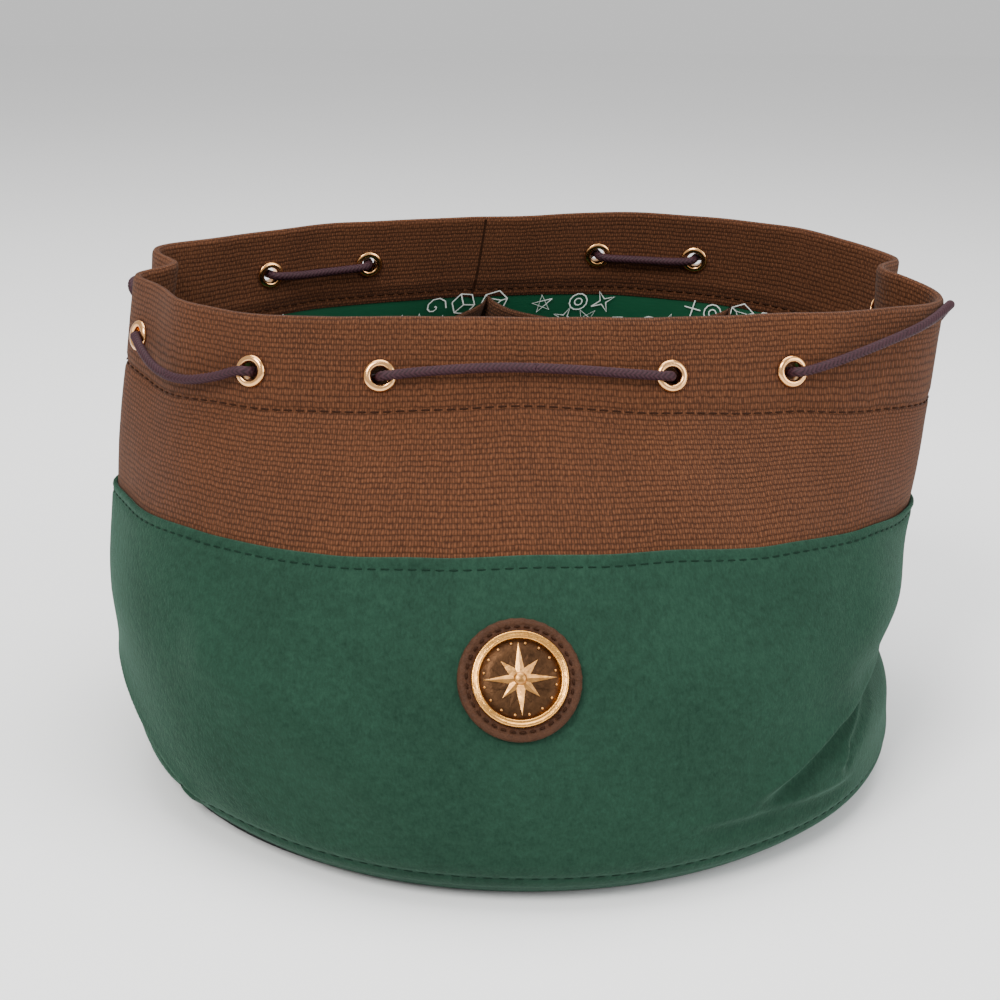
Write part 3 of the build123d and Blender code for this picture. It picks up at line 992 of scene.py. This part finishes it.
def nearest_share(points, height):
    """The way round of points near the wall, found on its line at one height."""
    xy = np.asarray(points)[:, :2]
    shares = np.linspace(0, 1, 720, endpoint=False)
    line = wall(shares, height, 0)[:, :2]
    d = (xy**2).sum(1)[:, None] - 2 * xy @ line.T + (line**2).sum(1)
    return shares[d.argmin(1)]


for number, name in enumerate(ORDER):
    first, last = PAIRS[name]
    before, after = ORDER[number - 1], ORDER[(number + 1) % len(ORDER)]
    points = hole_points(first, 1)
    inner = (last - first) - 8
    drop = SAG_INSIDE[name]
    points += [
        beside(first + 4 + inner * part, CORD_H - drop * (1 - (2 * part - 1) ** 2) - 0.2, INSIDE)
        for part in (0.2, 0.5, 0.8)
    ]
    points += hole_points(last, -1)[::-1]
    if before in OUTER:
        arriving = outer_points(before, name)
        half = (arriving[1][1] + arriving[2][1]) / 2
        points = [half, *(p for _, p in arriving[2:]), *points]
    else:
        points = [beside(first - 2.2, CORD_H - 2.2, OUTSIDE), *points[1:]]
    if name in OUTER:
        leaving = outer_points(name, after)
        half = (leaving[1][1] + leaving[2][1]) / 2
        points = [*points, *(p for _, p in leaving[:2]), half]
    else:
        points = [*points[:-1], beside(last + 2.2, CORD_H - 2.2, OUTSIDE)]
    run = braided(f"laced_cord_{name}", route_line(points), CORD_D / 2 * MM)
    share = nearest_share([v.co for v in run.data.vertices], CORD_H)
    gather(run, name, share, np.full(len(share), CORD_H))
    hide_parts("cord_" + name)
print("cord faces in one length", len(run.data.polygons))

# %% [markdown]
# ## The free ends
# The cord starts and ends at the middle of the back. Each end hangs down the back of the bag to a stopper knot, with
# a short frayed end below the knot.

# %% Tails and stopper knots
TAILS = {
    "right": ("back_right", PAIRS["back_right"][1], 1),
    "left": ("back_left", PAIRS["back_left"][0], -1),
}
TAIL_STOPS = [(8, 106, 3.2), (11, 84, 3.2), (9, 62, 3.4), (12, 42, 4.2), (11, 27, 5.8)]
# the knot's turns round its middle, in mm: across, down the cord and sideways
KNOT_LOOP = [
    (0.2, -2.6, 0.4), (1.5, -1.5, 1.0), (1.7, 0.6, -0.9), (-0.2, 1.7, -1.5), (-1.7, 0.4, 0.8), (-0.8, -1.2, 1.7),
    (1.1, -0.4, 1.5), (1.5, 1.3, 0.0), (0.0, 0.8, -1.7), (-1.4, -0.8, -1.0), (-0.6, 0.6, 0.6), (0.2, 2.6, 0.2),
    (0.3, 7.2, 0.4),
]
KNOT_CORD_R, FRAY_HAIRS = 0.00118, 26
for side, (pair, place, lean) in TAILS.items():
    points = [beside(place + lean * 2.6, 114.5, -2.6), beside(place + lean * 5.2, 111.4, -2.9)]
    points += [beside(place + lean * run, height, -off) for run, height, off in TAIL_STOPS]
    line = route_line(points)
    tail = braided(f"tail_{side}_cord", line, CORD_D / 2 * MM)
    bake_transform(tail, "bag", "gather_" + pair, start=(0, 0, 0.078), end=(0, 0, 0.11))
    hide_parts("tail_" + side)
    end, way = Vector(line[-1]), Vector(line[-1] - line[-4]).normalized()
    across = way.orthogonal().normalized()
    third = way.cross(across)
    middle = end + way * 0.0022
    stops = [middle + across * (x * MM) + way * (y * MM) + third * (z * MM) for x, y, z in KNOT_LOOP]
    knot = braided(f"knot_{side}_tied", route_line(stops), KNOT_CORD_R)
    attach(knot, "bag")
    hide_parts("knot_" + side)
    fray = bmesh.new()
    rng = np.random.default_rng(7 if side == "right" else 11)
    tip = stops[-1]
    for _ in range(FRAY_HAIRS):
        spread = Vector(rng.normal(0, 0.42, 3))
        lean_out = (way + spread * 0.35).to_track_quat("Z", "Y")
        hair = Matrix.LocRotScale(tip + spread * 0.0007 + way * 0.0012, lean_out, (1, 1, 1))
        bmesh.ops.create_cone(
            fray, cap_ends=True, segments=5, radius1=0.00022, radius2=0.00006, depth=0.0042, matrix=hair,
        )
    frayed = finish_piece(to_mesh(fray, "fray"), f"frayed_end_{side}", CORD_FINISH)
    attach(frayed, "bag")

# %% [markdown]
# ## Stitching
# Each stitch is a short length of thread between two needle holes. It is a small low barrel, laid along the seam and
# pressed a little into the cloth.

# %% Rows of stitches
def stitch_row(bm, count_from, count_to, place, length, radius=0.00024):
    """Stitches at whole numbers from count_from to count_to; place(k) gives a point, a way along and outwards."""
    for k in range(count_from, count_to):
        at, along, out = place(k)
        side = out.cross(along).normalized()
        fit = axes_matrix(side, out, along, at)
        made = bmesh.ops.create_cone(
            bm, cap_ends=True, segments=6, radius1=radius * 0.75, radius2=radius * 0.75, depth=length, matrix=fit,
        )["verts"]
        edges = {e for v in made for e in v.link_edges}
        ring = [e for e in edges if abs((e.verts[0].co - e.verts[1].co).dot(along)) > length * 0.5]
        cut = bmesh.ops.subdivide_edges(bm, edges=ring, cuts=1)
        for v in [g for g in cut["geom_inner"] if isinstance(g, bmesh.types.BMVert)]:
            v.co += (v.co - at).normalized() * radius * 0.4


def wall_stitches(bm, height, depth, start, end, pitch, length):
    """Stitches round the wall at one height between two distances along the rim."""
    pitch = MOUTH_LENGTH / round(MOUTH_LENGTH / pitch)
    first, last = math.ceil(start / pitch), math.ceil(end / pitch)

    def place(k):
        distance = k * pitch
        along, _, out = wall_axes(share_of(distance), height)
        out = out if depth < 1.5 else -out
        return Vector(on_wall(distance, height, depth)), along, out

    stitch_row(bm, first, last, place, length)


def stitched(bm, name, material):
    smooth(bm)
    return finish_piece(to_mesh(bm, name), name, material)


for name in ORDER:
    left, right = (v * MOUTH_LENGTH for v in LIMITS[name])
    bm = bmesh.new()
    wall_stitches(bm, HEM, 0.5, left, right, 3.1, 0.0021)
    wall_stitches(bm, 107.5, 2.75, left, right, 3.1, 0.0021)
    row = stitched(bm, f"hem_stitches_{name}", BROWN_THREAD)
    share = nearest_share([v.co for v in row.data.vertices], HEM)
    gather(row, name, share, np.full(len(share), HEM))
bm = bmesh.new()
wall_stitches(bm, SEAM - 2.4, -0.88, 0, MOUTH_LENGTH, 2.9, 0.0020)
wall_stitches(bm, FOOT_ROW, -0.88, 0, MOUTH_LENGTH, 3.2, 0.0021)
green_rows = stitched(bm, "green_stitches", GREEN_THREAD)
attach(green_rows, "bag")

# %% Where the hem's two ends meet at the back
BACK_SEAM, SEAM_WIDTH, SEAM_RISE = -0.4715, 0.0014, 24.4


def seam_strip(u, v):
    depth = 2.66 + 0.3 * (np.abs(u - 0.5) < 0.3)
    at = wall(BACK_SEAM + (u - 0.5) * SEAM_WIDTH, FACING_EDGE + SEAM_RISE * v, depth)
    return at, np.column_stack([u * 0.001, v * 0.016]), {}


seam = grid_of(3, 60, seam_strip)
back_seam = finish_piece(to_mesh(seam, "seam"), "hem_join_back", BROWN_THREAD)
back_seam.data.flip_normals()
corners = len(back_seam.data.vertices)
gather(back_seam, "back_left", np.full(corners, BACK_SEAM % 1.0), np.full(corners, CORD_H))

# %% [markdown]
# ## The badge
# A round of dark leather with a stuffed, rolled edge is stitched to the green wall, and a cast medal sits in it. The
# medal carries a plain compass rose.

# %% Badge place and finishes
BADGE_SHARE, BADGE_HEIGHT = -0.0078, 57.0
PATCH_SCALE = 0.94
PUCKERS = 34


def badge_axes():
    along, up, out = wall_axes(BADGE_SHARE, BADGE_HEIGHT)
    return axes_matrix(along, up, out, Vector(wall(BADGE_SHARE, BADGE_HEIGHT, -0.9)[0]))


def leather():
    p = Paint("patch_leather", Specular_IOR_Level=0.15)
    where = p.coordinates()
    grain = p.noise(where, 1500, 4, 0.6)
    cells = Val(p, p.node("ShaderNodeTexVoronoi", {"feature": "F1"}, {"Vector": where, "Scale": 1500.0}))
    wear = p.noise(where, 240, 3)
    tone = grain * 0.6 + wear * 0.6 - 0.1
    p.set("Base Color", p.mix(tone.clamp(), (0.016, 0.0062, 0.0028), (0.074, 0.029, 0.0125)))
    p.set("Roughness", 0.5 + grain * 0.3)
    p.bump(grain * 0.7 + cells * 0.5, 0.7, 0.0005)
    return p.material


def antique(name, dark, light, rough):
    p = Paint(name, Metallic=1.0)
    where = p.coordinates()
    patina = p.noise(where, 420, 5, 0.65)
    dents = p.noise(where, 900, 3, 0.5)
    p.set("Base Color", p.mix((patina * 1.6 - 0.3).clamp(), dark, light))
    p.set("Roughness", (patina * -0.3 + rough + 0.2).clamp())
    p.bump(dents + patina, 0.35, 0.0003)
    return p.material


LEATHER = leather()
COIN_BRIGHT = antique("antique_brass_worn", (0.50, 0.21, 0.040), (0.92, 0.47, 0.12), 0.20)
COIN_RAISED = antique("antique_brass_raised", (0.26, 0.11, 0.028), (0.72, 0.36, 0.11), 0.28)
COIN_DARK = antique("antique_brass_recess", (0.018, 0.010, 0.006), (0.10, 0.048, 0.022), 0.42)

# %% The patch
PATCH_PROFILE = [
    (0, 0.9), (11.4, 0.9), (12.4, 1.15), (13.0, 1.3), (13.6, 1.2), (14.0, 1.5), (14.7, 1.6), (15.25, 1.35),
    (15.55, 0.9), (15.6, 0.4), (15.3, -0.1), (14.6, -0.5), (0, -0.5),
]


def badge_turned(name, profile, steps, material, pucker=0.0):
    """A shape turned about the badge's own axis; pucker gathers its edge between the stitches."""
    bm = bmesh.new()
    turn_outline(bm, profile, steps)
    bmesh.ops.remove_doubles(bm, verts=bm.verts, dist=1e-6)
    for v in bm.verts:
        r, angle = math.hypot(v.co.x, v.co.y), math.atan2(v.co.y, v.co.x)
        if r > 0.0128 and v.co.z > 0.0004:
            v.co *= 1 + pucker * math.cos(PUCKERS * angle) * 0.01
            v.co.z += pucker * (0.00012 * math.cos(PUCKERS * angle) + 0.0001 * math.sin(9 * angle))
    smooth(bm)
    bmesh.ops.scale(bm, vec=(PATCH_SCALE, PATCH_SCALE, 0.85), verts=bm.verts)
    bmesh.ops.transform(bm, matrix=badge_axes(), verts=bm.verts)
    piece = finish_piece(to_mesh(bm, name), name, material)
    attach(piece, "bag")
    return piece


patch = badge_turned("patch_leather_round", PATCH_PROFILE, 204, LEATHER, pucker=0.45)
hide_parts("patch")
bm = bmesh.new()
fit = badge_axes() @ Matrix.Diagonal((PATCH_SCALE, PATCH_SCALE, 0.85, 1))


def patch_stitch(k):
    angle = 2 * math.pi * k / PUCKERS + math.pi / PUCKERS
    out = Vector((math.cos(angle), math.sin(angle), 0))
    at = fit @ (out * 0.0133 + Vector((0, 0, 0.00155)))
    turn = fit.to_3x3()
    up = turn @ Vector((-out.x * 0.5, -out.y * 0.5, 0.8)).normalized()
    return at, turn @ Vector((-out.y, out.x, 0)), up


stitch_row(bm, 0, PUCKERS, patch_stitch, 0.0014, 0.00028)
patch_thread = stitched(bm, "patch_stitches", BROWN_THREAD)
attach(patch_thread, "bag")

# %% The medal
RING_PROFILE = [
    (10.0, 1.2), (10.15, 1.9), (10.4, 2.35), (10.7, 2.5), (11.0, 2.3), (11.1, 2.3), (11.45, 2.75), (11.9, 2.75),
    (12.15, 2.4), (12.2, 1.7), (12.0, 1.0),
]
ring = badge_turned("medal_ring", RING_PROFILE, 128, COIN_BRIGHT)
FIELD_PROFILE = [(0, 1.75), (7.0, 1.72), (10.3, 1.6), (10.4, 1.1), (0, 1.1)]
badge_turned("medal_field", FIELD_PROFILE, 96, COIN_DARK)
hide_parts("medallion")


def relief(name, outline, bottom, top, peak, material):
    """A raised flat shape whose middle rises to a peak, as a cast point does."""
    bm = bmesh.new()
    edge = [bm.verts.new((x * MM, y * MM, bottom * MM)) for x, y in outline]
    bm.faces.new(edge)
    raised = bmesh.ops.extrude_face_region(bm, geom=list(bm.faces))
    lifted = [g for g in raised["geom"] if isinstance(g, bmesh.types.BMVert)]
    bmesh.ops.translate(bm, vec=(0, 0, (top - bottom) * MM), verts=lifted)
    cap = [g for g in raised["geom"] if isinstance(g, bmesh.types.BMFace)]
    centre = bmesh.ops.poke(bm, faces=cap)["verts"]
    for v in centre:
        v.co = (0, 0, peak * MM)
    bmesh.ops.recalc_face_normals(bm, faces=bm.faces)
    bmesh.ops.transform(bm, matrix=fit, verts=bm.verts)
    piece = finish_piece(to_mesh(bm, name), name, material)
    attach(piece, "bag")
    return piece


def star(points, long, waist, turn=0.0, short=None):
    outline = []
    for k in range(2 * points):
        angle = math.pi * k / points + turn
        r = (long if short is None or k % 4 == 0 else short) if k % 2 == 0 else waist
        outline.append((r * math.sin(angle), r * math.cos(angle)))
    return outline


relief("medal_rose_small", star(8, 7.6, 3.4, math.pi / 8, 6.4), 1.6, 1.9, 2.1, COIN_DARK)
relief("medal_rose", star(8, 9.2, 2.9, 0.0, 6.6), 1.7, 2.0, 2.6, COIN_RAISED)
BOSS_PROFILE = [(0, 3.2), (0.9, 3.1), (1.5, 2.8), (1.7, 2.3), (1.6, 1.9)]
badge_turned("medal_boss", BOSS_PROFILE, 32, COIN_RAISED)
PIPS, PIP_RING = 16, 0.0091
for k in range(PIPS):
    angle = math.pi * (k + 0.5) / (PIPS / 2)
    pip = bmesh.new()
    bmesh.ops.create_uvsphere(pip, u_segments=12, v_segments=8, radius=0.00036)
    bmesh.ops.scale(pip, vec=(1, 1, 0.8), verts=pip.verts)
    at = (PIP_RING * math.sin(angle), PIP_RING * math.cos(angle), 0.00172)
    bmesh.ops.translate(pip, vec=at, verts=pip.verts)
    bmesh.ops.transform(pip, matrix=fit, verts=pip.verts)
    pip_piece = stitched(pip, f"medal_pip_{k + 1}", COIN_RAISED)
    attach(pip_piece, "bag")

# %% [markdown]
# ## The printed lining
# The lining is printed with thin white line drawings: stars, sparks, rings and plain solids. Each line is a narrow
# ribbon of ink that lies just over the satin, so it follows the same wall.

# %% Draw the print
def doodle_lines():
    """Line drawings on a unit square, as lists of points."""
    def ring(n, r, turn=0.0):
        angles = [2 * math.pi * k / n + turn for k in range(n + 1)]
        return [(r * math.cos(angle), r * math.sin(angle)) for angle in angles]
    spark = [(0, 1), (0.18, 0.18), (1, 0), (0.18, -0.18), (0, -1), (-0.18, -0.18), (-1, 0), (-0.18, 0.18), (0, 1)]
    star5 = [(math.sin(4 * math.pi * k / 5), math.cos(4 * math.pi * k / 5)) for k in range(6)]
    cube = [[(-0.7, -0.5), (0, -0.9), (0.7, -0.5), (0.7, 0.4), (0, 0.85), (-0.7, 0.4), (-0.7, -0.5)],
            [(-0.7, 0.4), (0, 0.05), (0.7, 0.4)], [(0, 0.05), (0, -0.9)]]
    twenty = [ring(6, 1.0, math.pi / 6), [(0, 0.55), (0.5, -0.3), (-0.5, -0.3), (0, 0.55)],
              [(0, 0.55), (0, 1)], [(0.5, -0.3), (0.87, -0.5)], [(-0.5, -0.3), (-0.87, -0.5)]]
    swirl = [(0.09 * k * math.cos(k * 0.7), 0.09 * k * math.sin(k * 0.7)) for k in range(12)]
    cross = [[(-1, 0), (1, 0)], [(0, -1), (0, 1)]]
    return [[spark], [star5], cube, twenty, [ring(12, 0.7), ring(10, 0.3)], [swirl], cross]


DOODLES = doodle_lines()
print_rng = np.random.default_rng(21)
ribbons = {name: bmesh.new() for name in ORDER}
for bm in ribbons.values():
    bm.verts.layers.float.new("share_round")
    bm.verts.layers.float.new("height_mm")


def ribbon(bm, stops, half=0.19):
    """A narrow band along (distance, height) stops on the lining."""
    stops = np.array(stops, float)
    way = np.gradient(stops, axis=0)
    way /= np.linalg.norm(way, axis=1)[:, None] + 1e-9
    side = np.stack([-way[:, 1], way[:, 0]], 1) * half
    share_layer, height_layer = (bm.verts.layers.float[key] for key in ("share_round", "height_mm"))
    a, b = [], []
    for rail, flat in ((a, stops + side), (b, stops - side)):
        for at, (distance, height) in zip(wall(share_of(flat[:, 0]), flat[:, 1], 3.0), flat):
            corner = bm.verts.new(at)
            corner[share_layer], corner[height_layer] = share_of(distance), height
            rail.append(corner)
    for k in range(len(stops) - 1):
        bm.faces.new((a[k], a[k + 1], b[k + 1], b[k]))


def owner_of(share):
    """The length of lining that a place belongs to."""
    return next(n for n in ORDER if 0 <= (share - LIMITS[n][0]) % 1.0 < LIMITS[n][1] - LIMITS[n][0])


PRINT_COLUMNS, PRINT_ROWS, PRINT_FOOT, PRINT_RISE = 66, 7, 62, 6.8
for column_number in range(PRINT_COLUMNS):
    for row_number in range(PRINT_ROWS):
        shift = print_rng.uniform(-0.3, 0.3)
        distance = (column_number + shift + 0.5 * (row_number % 2)) * MOUTH_LENGTH / PRINT_COLUMNS
        height = PRINT_FOOT + row_number * PRINT_RISE + print_rng.uniform(-1.2, 1.2)
        size = print_rng.uniform(2.6, 4.4)
        turn = print_rng.uniform(0, 2 * math.pi)
        drawing = DOODLES[print_rng.integers(len(DOODLES))]
        if height > FACING_EDGE - 1.5:
            continue
        owner = owner_of(share_of(distance))
        c, s = math.cos(turn), math.sin(turn)
        for line in drawing:
            stops = [(distance + size * (c * x - s * y), height + size * (s * x + c * y)) for x, y in line]
            ribbon(ribbons[owner], stops)
for name, bm in ribbons.items():
    printed = finish_piece(to_mesh(bm, "print"), f"lining_print_{name}", INK)
    gather(printed, name, values(printed, "share_round"), values(printed, "height_mm"))

# %% [markdown]
# ## Setting
# A plain pale floor, soft light from above and the left, and a longish lens a little above the mouth.

# %% Floor, light and camera
def area(name, at, towards, size, power, colour=(1, 1, 1)):
    lamp = bpy.data.lights.new(name, "AREA")
    lamp.size, lamp.energy, lamp.color = size, power, colour
    obj = bpy.data.objects.new(name, lamp)
    bpy.context.scene.collection.objects.link(obj)
    obj.location = at
    obj.rotation_euler = (Vector(towards) - Vector(at)).to_track_quat("-Z", "Y").to_euler()


area("key", (-0.55, -0.75, 0.95), (0, 0, 0.06), 0.5, 17.0, (1.0, 0.985, 0.96))
area("fill", (0.85, -0.6, 0.55), (0, 0, 0.06), 0.7, 8.0, (0.97, 0.985, 1.0))
area("top", (0.0, 0.15, 1.1), (0, 0, 0.06), 0.9, 13.0)

bm = bmesh.new()
bmesh.ops.create_grid(bm, x_segments=2, y_segments=2, size=3)
paper = Paint("pale_floor", Roughness=0.9)
paper.set("Base Color", paper.mix(paper.noise(paper.coordinates(), 4), (0.93, 0.93, 0.93), (0.95, 0.95, 0.95)))
floor = finish_piece(to_mesh(bm, "floor"), "floor", paper.material)

world = bpy.data.worlds.new("studio")
bpy.context.scene.world = world
world.use_nodes = True
world.node_tree.nodes["Background"].inputs["Color"].default_value = (1.0, 1.0, 1.0, 1)
world.node_tree.nodes["Background"].inputs["Strength"].default_value = 0.75

PITCH, YAW, ROLL = (math.radians(v) for v in (17.6, 5.2, 1.0))
AWAY, UP, SIDEWAYS = 0.4835, 0.2204, -0.002


def turned_back(v):
    c, s = math.cos(YAW), math.sin(YAW)
    return Vector((v[0] * c + v[1] * s, -v[0] * s + v[1] * c, v[2]))


ahead = Vector((0, math.cos(PITCH), -math.sin(PITCH)))
level = Vector((1, 0, 0))
above = Vector((0, math.sin(PITCH), math.cos(PITCH)))
right = turned_back(math.cos(ROLL) * level + math.sin(ROLL) * above)
up = turned_back(-math.sin(ROLL) * level + math.cos(ROLL) * above)
lens = bpy.data.cameras.new("camera")
lens.lens, lens.sensor_width = 64.8, 36.0
lens.clip_start = 0.01
camera = bpy.data.objects.new("camera", lens)
bpy.context.scene.collection.objects.link(camera)
camera.matrix_world = axes_matrix(right, up, -turned_back(ahead), turned_back((SIDEWAYS, -AWAY, UP)))
bpy.context.scene.camera = camera
